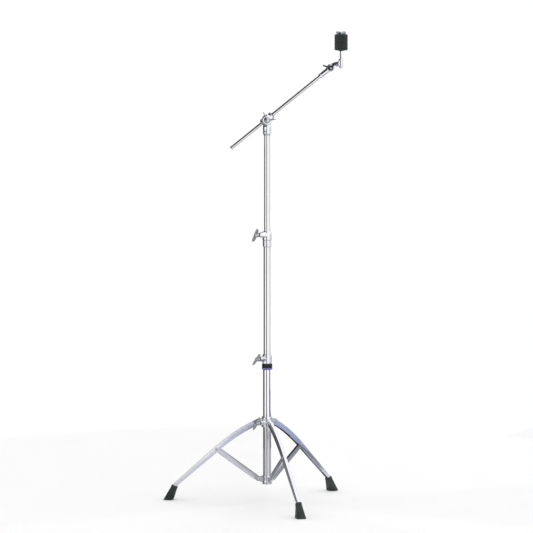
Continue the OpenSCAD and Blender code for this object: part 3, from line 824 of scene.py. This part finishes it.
def make_ring():
    """The black moulded ring, with finger grooves above the violet band it carries."""
    z0, z1 = low("base_ring").z, high("base_ring").z
    b0, b1 = low("base_band").z, high("base_band").z
    r = high("base_ring").x
    segments = 96
    rib_count = 24
    ribbed_rows = (8, 9)
    outline = [(BASE_BORE, z0), (r - 1.2, z0), (r, z0 + 1.2), (r, b0),
               (r - 0.8, b0), (r - 0.8, b1), (r, b1), (r, b1 + 0.9), (r - 0.7, b1 + 1.6),
               (r - 0.7, z1 - 3.8), (r, z1 - 3), (r, z1 - 1.6), (r - 0.5, z1 - 0.5),
               (r - 1.5, z1), (BASE_BORE, z1)]
    rings = []
    for row, (radius, h) in enumerate(outline):
        rib_h = 0.35 if row in ribbed_rows else 0
        ring = []
        for turn in circle(segments):
            ribbed = radius + rib_h * (0.5 + 0.5 * cos(rib_count * turn))
            ring.append(Vector((ribbed * cos(turn), ribbed * sin(turn), h)))
        rings.append(ring)
    set_piece(loft("base_ring_moulding", rings, closed=True), "base_ring")
    out = r + 0.3
    outline = [(r - 0.7, b0 + 0.05), (out - 0.3, b0 + 0.05), (out, b0 + 0.5), (out, b1 - 0.5),
               (out - 0.3, b1 - 0.05), (r - 0.7, b1 - 0.05)]
    band = turned("base_band_ring", outline, POST, bored=True, segments=segments)
    set_piece(band, "base_band")


# ---- Boom tilter ------------------------------------------------------------

boom = Vector(joints["boom_slide"]["axis"]).normalized()
tilter = pivot("boom_tilt")
boom_pivot = pivot("boom_roll")
DRUM_R = 16
DRUM_HALF = 9
HOLDER_LEN = 40
HOLDER_R = 11.8
SOCKET_H = 31


def drum_place(origin):
    """A place whose Z comes forward out of a tilter's drum."""
    return place_at(origin, -BACK)


def make_tilter_base():
    """The half of the boom tilter on the upper tube: socket, neck and drum."""
    z0 = low("tilter_base").z
    z1 = z0 + SOCKET_H
    r = 13.3
    outline = [(10.7, z0), (r - 1, z0 + 4.4), (r, z0 + 7), (r, z0 + 12), (r - 0.7, z0 + 13),
               (r - 0.7, z0 + 15), (r, z0 + 16), (r, z1 - 3), (r - 0.8, z1 - 1), (r - 2.6, z1)]
    parts = [turned("socket", outline, POST)]
    place = drum_place(tilter)
    drum = [(DRUM_R, -DRUM_HALF), (DRUM_R, DRUM_HALF - 4.5), (DRUM_R - 0.8, DRUM_HALF - 3.8),
            (DRUM_R - 0.8, DRUM_HALF - 1.6), (DRUM_R - 1.8, DRUM_HALF - 0.4),
            (DRUM_R - 3, DRUM_HALF)]
    parts.append(turned("drum", drum, place))
    neck_depth = 7.98
    neck = [
        [Vector((radius * 1.02 * cos(turn), neck_depth * sin(turn), h)) for turn in circle(40)]
        for radius, h in ((r - 3.2, z1 - 6), (r - 2.8, z1 + 2), (r - 1.2, z1 + 8),
                          (r - 0.4, z1 + 13))
    ]
    parts.append(loft("neck", neck))
    bores = [(POST, UPPER_BORE, z0 - 1, high("upper_tube").z + BORE_GAP),
             (place, BOLT_R + BORE_GAP, -DRUM_HALF - 1, DRUM_HALF + 1)]
    set_piece(cast("tilter_base_casting", parts, bores=bores), "tilter_base")


def make_boom_holder():
    """The half of the boom tilter that holds the boom, and the eye bolt through both."""
    place = drum_place(tilter)
    drum = [(DRUM_R - 0.6, -9.5), (DRUM_R, -10.1), (DRUM_R, -14), (DRUM_R - 1, -15.4),
            (DRUM_R - 3, -17.5), (DRUM_R - 5, -20)]
    half = HOLDER_LEN / 2
    r = HOLDER_R
    sleeve = [(r - 1.6, -half), (r - 0.4, 0.5 - half), (r, 1.8 - half), (r, 5 - half),
              (r - 1, 6 - half), (r - 1, half - 6), (r, half - 5), (r, half - 1.8),
              (r - 0.4, half - 0.5), (r - 1.6, half)]
    along = place_at(boom_pivot, boom)
    parts = [turned("drum", drum, place), turned("sleeve", sleeve, along)]
    bores = [(along, LINER_R + BORE_GAP, -half - 1, half + 1),
             (place, EYE_R + BORE_GAP, -60, -19.5), (place, BOLT_R + BORE_GAP, -21, -8)]
    set_piece(cast("boom_holder_casting", parts, bores=bores), "boom_holder")
    eye = [(EYE_R, -30), (EYE_R, -36.4), (EYE_R - 0.4, -37.3), (EYE_R - 1.2, -37.5),
           (3.4, -37.5), (2.8, -36.9)]
    head = turned("eye_head", eye, place)
    stud = threaded("eye_thread", place, BOLT_R, 9, 26.8)
    set_piece(join("tilter_eye_bolt_stud", [head, stud]), "tilter_eye_bolt")


def make_tilter_nut():
    parts = v_nut(drum_place(tilter), DRUM_HALF + 1.9, 8.6, TILTER_NUT_TURNS, 28.4)
    set_piece(cast("tilter_wing_nut_head", parts, FINE_VOXEL, FINE_PASSES), "tilter_wing_nut")


def make_liner():
    """The liner of the boom holder, with a flange that shows at each end."""
    place = place_at(boom_pivot, boom)
    bore = BOOM_R + BORE_GAP
    flange_r = 9.6
    half = HOLDER_LEN / 2
    outline = [(bore, -half - 1.5), (flange_r - 0.8, -half - 1.5), (flange_r, -half - 0.9),
               (flange_r, -half - 0.3), (LINER_R, -half - 0.3), (LINER_R, half + 0.3),
               (flange_r, half + 0.3), (flange_r, half + 0.9), (flange_r - 0.8, half + 1.5),
               (bore, half + 1.5)]
    set_piece(turned("boom_liner_moulding", outline, place, bored=True), "boom_liner")


# ---- Boom and cymbal seat ---------------------------------------------------

seat_pivot = pivot("seat_tilt")
seat = Vector(mounts["cymbal_seat"]["pos_m"]) / MM
rod_foot_z = low("cymbal_rod").z
SEAT_DRUM_R = 12
SEAT_DRUM_HALF = 8.7
BOOM_TAIL = 144.6
NECK_START = 209


def make_boom_end():
    """The cap on the boom's tail, with a groove round it."""
    r = 5.7
    place = place_at(boom_pivot - boom * BOOM_TAIL, boom)
    outline = [(0.6, 0.05), *arc(r - 2.4, 2.4, 2.4, -80, 0, 6), (r, 6.2), (r - 0.35, 6.6),
               (r - 0.35, 7.4), (r, 7.8), (r, 8.9), (r - 0.5, 9.4), (BOOM_R + BORE_GAP, 9.45)]
    set_piece(turned("boom_end_cap_moulding", outline, place), "boom_end_cap")


def make_boom_neck():
    """The half of the cymbal tilter on the boom: socket, twisted neck and drum."""
    r = 7.5
    length = 31
    place = place_at(boom_pivot + boom * NECK_START, boom)
    outline = [(r - 1.2, 0), (r - 0.2, 0.6), (r, 1.6), (r, 6), (r - 0.6, 6.8), (r - 0.6, 8.4),
               (r, 9.2), (r, length - 2), (r - 1, length - 0.6), (r - 2, length)]
    parts = [turned("socket", outline, place)]
    rings = []
    lean = boom.cross(BACK).normalized()
    # Distance along the neck, half width, half depth, shift towards the front
    for distance, wide, deep, shift in ((18, 6.6, 6.4, 0), (26, 5.4, 7.0, 2.1),
                                        (34, 4.2, 8.6, 4.2), (42, 4.0, 9.6, 4.2)):
        centre = boom_pivot + boom * (NECK_START + distance) - BACK * shift
        rings.append([centre + BACK * (wide * cos(turn)) + lean * (deep * sin(turn))
                      for turn in circle(32)])
    parts.append(loft("neck", rings))
    drum_at = drum_place(seat_pivot)
    drum = [(SEAT_DRUM_R - 0.4, 0.2), (SEAT_DRUM_R, 0.8), (SEAT_DRUM_R, 5.6),
            (SEAT_DRUM_R - 0.8, 6.6), (SEAT_DRUM_R - 2, SEAT_DRUM_HALF - 0.4),
            (SEAT_DRUM_R - 3.4, SEAT_DRUM_HALF)]
    parts.append(turned("drum", drum, drum_at))
    bores = [(place, BOOM_R + BORE_GAP, -1, 25),
             (drum_at, STUD_R + BORE_GAP, -1, SEAT_DRUM_HALF + 1)]
    set_piece(cast("boom_neck_casting", parts, FINE_VOXEL, FINE_PASSES, bores), "boom_neck")


def make_seat_link():
    """The moving half of the cymbal tilter: drum, horn, upright flange and rod barrel."""
    drum = [(SEAT_DRUM_R - 3.4, -SEAT_DRUM_HALF), (SEAT_DRUM_R - 2, 0.4 - SEAT_DRUM_HALF),
            (SEAT_DRUM_R - 0.8, -6.6), (SEAT_DRUM_R, -5.6), (SEAT_DRUM_R, -0.8),
            (SEAT_DRUM_R - 0.4, -0.2)]
    place = drum_place(seat_pivot)
    parts = [turned("drum", drum, place)]
    flange_x = -9.1
    horn_z = 6.5
    rings = []
    # Offsets from the foot of the rod to the right and upwards, radius, shift to the back
    for x, z, r, y in ((-32.5, 1, 5.6, 4), (-25.5, 4.2, 6, 2.88), (-18.9, horn_z, 6.4, 0.48),
                       (-13.9, horn_z, 7.2, 0), (flange_x, horn_z, 8.4, 0)):
        centre = Vector((seat.x + x, seat.y + y, rod_foot_z + z))
        rings.append([centre + BACK * (r * 0.75 * cos(turn)) + UP * (r * sin(turn))
                      for turn in circle(36)])
    parts.append(loft("horn", rings))
    flange = [(8.8, 0), (9.5, 0.5), (9.5, 1.9), (8.8, 2.4)]
    flange_at = Vector((seat.x + flange_x, seat.y, rod_foot_z + horn_z + 3))
    parts.append(turned("flange", flange, place_at(flange_at, (1, 0, 0))))
    barrel = [(1.0, -6.7), *arc(0, 0, 6.8, -76, 0, 8), (6.8, 16), (6.3, 17), (6.3, 18.4),
              (6.8, 19.4), (6.8, 21.8), (6.2, 22.7), (5.4, 23)]
    foot = Matrix.Translation((seat.x, seat.y, rod_foot_z))
    parts.append(turned("barrel", barrel, foot))
    bores = [(foot, ROD_R + BORE_GAP, 0, 24), (place, STUD_R + BORE_GAP, -SEAT_DRUM_HALF - 1, 1)]
    set_piece(cast("seat_link_casting", parts, FINE_VOXEL, FINE_PASSES, bores), "seat_link")


def make_seat_fasteners():
    """The bolt of the cymbal tilter, hexagonal at the back, and its wing nut, whose painted dark colour stands for
    the dark reflections of its chrome.
    """
    place = drum_place(seat_pivot)
    stud = threaded("seat_stud", place, STUD_R, -8, 23.8, pitch=1.0, depth=0.45)
    hexagon = [(6.3, -13), (6.3, -12.6), (6.3, -9.4), (6.0, -9.05)]
    nut = turned("seat_hex", hexagon, place, segments=6)
    set_piece(join("seat_tilter_bolt_stud", [stud, nut]), "seat_tilter_bolt")
    parts = v_nut(place, SEAT_DRUM_HALF + 1.5, 7, SEAT_NUT_TURNS, 25.9, 5)
    head = cast("seat_tilter_wing_nut_head", parts, FINE_VOXEL, FINE_PASSES)
    # The dark look on this nut is a painted reflection: dark colour in place of the dark surroundings its chrome
    # reflects.
    set_piece(head, "seat_tilter_wing_nut", looks["dark_metal"])


def make_cymbal_rod():
    """The cymbal rod: a plain shank, threaded above the sleeve."""
    place = Matrix.Translation((seat.x, seat.y, 0))
    thread_start = high("rod_sleeve").z - 2
    outline = [(ROD_R - 0.05, rod_foot_z + 0.05), (ROD_R, rod_foot_z + 1), (ROD_R, thread_start)]
    shank = turned("rod_shank", outline, place, segments=48)
    thread = threaded("rod_thread", place, ROD_R, thread_start - 0.5, high("cymbal_rod").z - 0.1)
    set_piece(join("cymbal_rod_stud", [shank, thread]), "cymbal_rod")


def make_sleeve():
    """The sleeve on the cymbal rod, with a flange that carries the lower felt."""
    z0, z1 = low("rod_sleeve").z, high("rod_sleeve").z
    place = Matrix.Translation((seat.x, seat.y, 0))
    outline = [(4, z0), (6.6, z0), (7, z0 + 0.4), (7, z0 + 1.5), (6.7, z0 + 1.8),
               (5.75, z0 + 1.8), (5.75, z1 - 0.8), (5.2, z1), (4, z1)]
    set_piece(turned("rod_sleeve_moulding", outline, place, bored=True), "rod_sleeve")


# Rims of a felt: worn round at the outer end of the pair, sharper where the two felts meet
FELT_OUTER_RIM = 4.6
FELT_INNER_RIM = 1.0
FELT_STEPS = 160


def felt_outline(z0, z1, r, hole, low_rim, high_rim):
    """The section of a felt, from its hole round its low face, side and high face."""
    crown = 0.4
    low_z = z0 + crown + low_rim
    high_z = z1 - crown - high_rim
    outline = [(hole, z0 + 0.9), (hole + 0.7, z0 + 0.25)]
    outline += [(hole + (r - low_rim - hole) * i / 8, z0 + 0.15 + crown * (i / 8) ** 3)
                for i in range(1, 8)]
    outline += arc(r - low_rim, low_z, low_rim, -88, 0, 10)
    outline += [(r - 0.25 * sin(pi * i / 8), low_z + (high_z - low_z) * i / 8)
                for i in range(1, 8)]
    outline += arc(r - high_rim, high_z, high_rim, 0, 88, 10)
    outline += [(hole + (r - high_rim - hole) * i / 8, z1 - 0.15 - crown * (i / 8) ** 3)
                for i in range(7, 0, -1)]
    return outline + [(hole + 0.7, z1 - 0.25), (hole, z1 - 0.9)]


def make_felt_disc(node, seed, hole, low_rim, high_rim):
    """A die-cut felt: softly crowned faces, worn rims and an uneven, fibrous skin."""
    z0, z1 = low(node).z, high(node).z
    middle = (z0 + z1) / 2
    skin = 0.35
    r = (high(node).x - low(node).x) / 2 - skin
    rings = []
    for radius, h in felt_outline(z0, z1, r, hole, low_rim, high_rim):
        ring = []
        for turn in circle(FELT_STEPS):
            out = Vector((cos(turn), sin(turn), 0))
            spot = out * radius + UP * h
            lumps = noise.noise(spot * 0.09 + Vector((seed, 0, 0)))
            fuzz = noise.fractal(spot * 0.8 + Vector((0, seed, 0)), 0.6, 2.1, 3)
            inside = min(1, (radius - hole) / 3)
            push = inside * (0.22 * lumps + 0.1 * fuzz)
            lift = inside * 0.12 * noise.noise(spot * 0.5 + Vector((0, 0, seed)))
            sag = -0.1 * inside if h > middle else 0.1 * inside
            spot = out * (radius + push) + UP * (h + lift + sag)
            ring.append(spot + Vector((seat.x, seat.y, 0)))
        rings.append(ring)
    felt = loft(f"{node}_disc", rings, closed=True, crease=180)
    set_piece(felt, node)


def make_top_nut():
    """The cymbal wing nut: a low hub and two upright wings."""
    z = low("cymbal_wing_nut").z
    place = place_at((seat.x, seat.y, 0), UP, (1, 0, 0))
    hub = [(8.6, z + 0.1), (9, z + 0.6), (9, z + 1.3), (7.2, z + 2), (6.2, z + 3.2),
           (5.4, z + 4.2), (4.2, z + 4.6)]
    parts = [turned("hub", hub, place)]
    for turn in (0, pi):
        parts.append(blade(place, turn, z + 4.2, z + 4.4, reach=15.6, root=6.8, middle=7.4,
                           tip=7.2, thick=3.8))
    head = cast("cymbal_wing_nut_head", parts, 0.4, FINE_PASSES)
    set_piece(head, "cymbal_wing_nut", looks["nut_chrome"])


def make_object():
    for side in SIDES:
        make_leg(side)
        make_strut(side)
        make_foot(side)
    make_collars()
    make_wing_bolts()
    make_base_clamp()
    make_upper_clamp()
    make_ring()
    make_tilter_base()
    make_boom_holder()
    make_tilter_nut()
    make_liner()
    make_boom_end()
    make_boom_neck()
    make_seat_link()
    make_seat_fasteners()
    make_cymbal_rod()
    make_sleeve()
    make_felt_disc("lower_felt", 3.0, 5.85, FELT_OUTER_RIM, FELT_INNER_RIM)
    make_felt_disc("upper_felt", 11.0, 6.15, FELT_INNER_RIM, FELT_OUTER_RIM)
    make_top_nut()


def dress_cad_nodes():
    """Gives the CAD nodes that stay as they are their looks and their slots."""
    for node, piece in frame["nodes"].items():
        piece.data.materials.clear()
        piece.data.materials.append(look_of(node))
        piece.data.shade_smooth()
        piece.data.set_sharp_from_angle(angle=radians(35))


# ---- Studio -----------------------------------------------------------------

# The camera's sizes are in metres, apart from its sensor
CAMERA_TILT = radians(6.8)
CAMERA_REACH = 16.0
FRAME_WIDTH = 1.652
AIM = Vector((-0.002, 0, 0.741))
SENSOR = 36


def make_camera():
    """A long lens from the front, a little above."""
    data = bpy.data.cameras.new("camera")
    data.sensor_width = SENSOR
    data.lens = SENSOR * CAMERA_REACH / FRAME_WIDTH
    data.clip_end = 200
    camera = link("camera", data)
    back = Vector((0, -cos(CAMERA_TILT), sin(CAMERA_TILT)))
    camera.location = AIM + back * CAMERA_REACH
    camera.rotation_mode = "QUATERNION"
    camera.rotation_quaternion = (-back).to_track_quat("-Z", "Y")
    bpy.context.scene.camera = camera


def make_floor():
    """White paper, far wider than the view, just under the feet."""
    half = 60000
    z = -0.2
    corners = [(-half, -half, z), (half, -half, z), (half, half, z), (-half, half, z)]
    floor = solid("floor", corners, [(0, 1, 2, 3)])
    look = Look("floor_paper", (0.97, 0.97, 0.97), 0.0, 0.85)
    look.rough(look.noise(6, 3), 0.8, 0.95)
    floor.data.materials.append(look.material)


def make_card(name, colour, low_edge, high_edge):
    """A card that only reflections see, between two edges of equally many points."""
    count = len(low_edge)
    faces = [(i, i + 1, i + count + 1, i + count) for i in range(count - 1)]
    card = solid(name, [*low_edge, *high_edge], faces)
    card.data.materials.append(Look(name, colour, 0.0, 0.8).material)
    card.visible_camera = False
    card.visible_diffuse = False
    card.visible_shadow = False
    card.visible_transmission = False


def round_post(start, end, reach, z, steps=12):
    """Points round the post between two bearings, in millimetres.

    Bearing 0 is the camera's side and 90 is the right of its view.
    """
    bearings = [radians(start + (end - start) * i / steps) for i in range(steps + 1)]
    return [(reach * sin(bearing), -reach * cos(bearing), z) for bearing in bearings]


DARK_CARD = (0.02, 0.02, 0.022)
SKY_CARD = (0.62, 0.67, 0.82)

# Upright cards: colour, first and last bearing, distance from the post, low and high edge
WALL_CARDS = {
    "card_front_low": (DARK_CARD, -25, -5, 1500, 1, 229),
    "card_front_leg": ((0.52, 0.54, 0.65), -31, -25, 1500, 1, 229),
    "card_front_middle": (DARK_CARD, -31, -5, 1500, 264, 654),
    "card_front_high": (DARK_CARD, -31, -5, 1500, 684, 1045),
    "card_clamp_low": (SKY_CARD, -31, 14, 1510, 229, 264),
    "card_clamp_high": (SKY_CARD, -31, 14, 1510, 654, 684),
    "card_left": ((0.08, 0.078, 0.075), -180, -76, 1100, 0, 4600),
    "card_high_left": ((0.03, 0.03, 0.03), -76, -27, 1100, 1150, 3600),
    "card_high_front": ((0.03, 0.03, 0.03), -27, -2, 1100, 1240, 3600),
    "card_right": ((0.05, 0.05, 0.052), 61, 93, 1100, 100, 274),
    "card_right_edge": ((0.05, 0.05, 0.052), 116, 144, 1100, 281, 318),
    "card_right_pale": ((0.72, 0.72, 0.73), 61, 180, 1150, 274, 1300),
    "card_blue": ((0.36, 0.4, 0.58), 93, 112, 1100, 30, 200),
}

# Flat cards: colour, first and last bearing, inner and outer radius, height
FLAT_CARDS = {
    "card_floor_left": ((0.2, 0.2, 0.205), -180, -62, 1, 1600, 0.4),
    "card_floor_window": ((0.6, 0.6, 0.64), -62, -31, 1, 1600, 0.4),
    "card_floor_front": ((0.34, 0.34, 0.36), -31, -5, 1, 950, 0.4),
    "card_floor_leg": ((0.62, 0.62, 0.68), -31, -22, 950, 1600, 0.4),
    "card_floor_collar": ((0.12, 0.12, 0.12), -22, -5, 950, 1600, 0.4),
    "card_floor_middle": ((0.54, 0.54, 0.56), -5, 40, 1, 1600, 0.4),
    "card_floor_bright": ((0.78, 0.78, 0.8), 40, 61, 1, 1600, 0.4),
    "card_floor_right": ((0.24, 0.25, 0.27), 61, 112, 1, 1600, 0.4),
    "card_floor_far": ((0.26, 0.26, 0.27), -5, 61, 1300, 1520, 0.8),
    "card_floor_back": ((0.7, 0.7, 0.72), 112, 180, 1, 1600, 0.4),
    "card_floor_boom": ((0.05, 0.05, 0.055), 98, 150, 1115, 1900, 0.8),
    "card_ceiling": ((0.05, 0.05, 0.05), -180, -12, 1, 1900, 4000),
}


def make_studio():
    """White surroundings, a paper floor, and the cards that shade the chrome."""
    scene = bpy.context.scene
    world = bpy.data.worlds.new("studio")
    scene.world = world
    world.use_nodes = True
    background = world.node_tree.nodes["Background"]
    background.inputs["Color"].default_value = (1, 1, 1, 1)
    background.inputs["Strength"].default_value = 1.05
    scene.view_settings.view_transform = "Standard"
    make_floor()
    for name, (colour, start, end, reach, z0, z1) in WALL_CARDS.items():
        make_card(name, colour, round_post(start, end, reach, z0),
                  round_post(start, end, reach, z1))
    for name, (colour, start, end, inner, outer, z) in FLAT_CARDS.items():
        make_card(name, colour, round_post(start, end, inner, z),
                  round_post(start, end, outer, z))


make_object()
dress_cad_nodes()
make_camera()
make_studio()
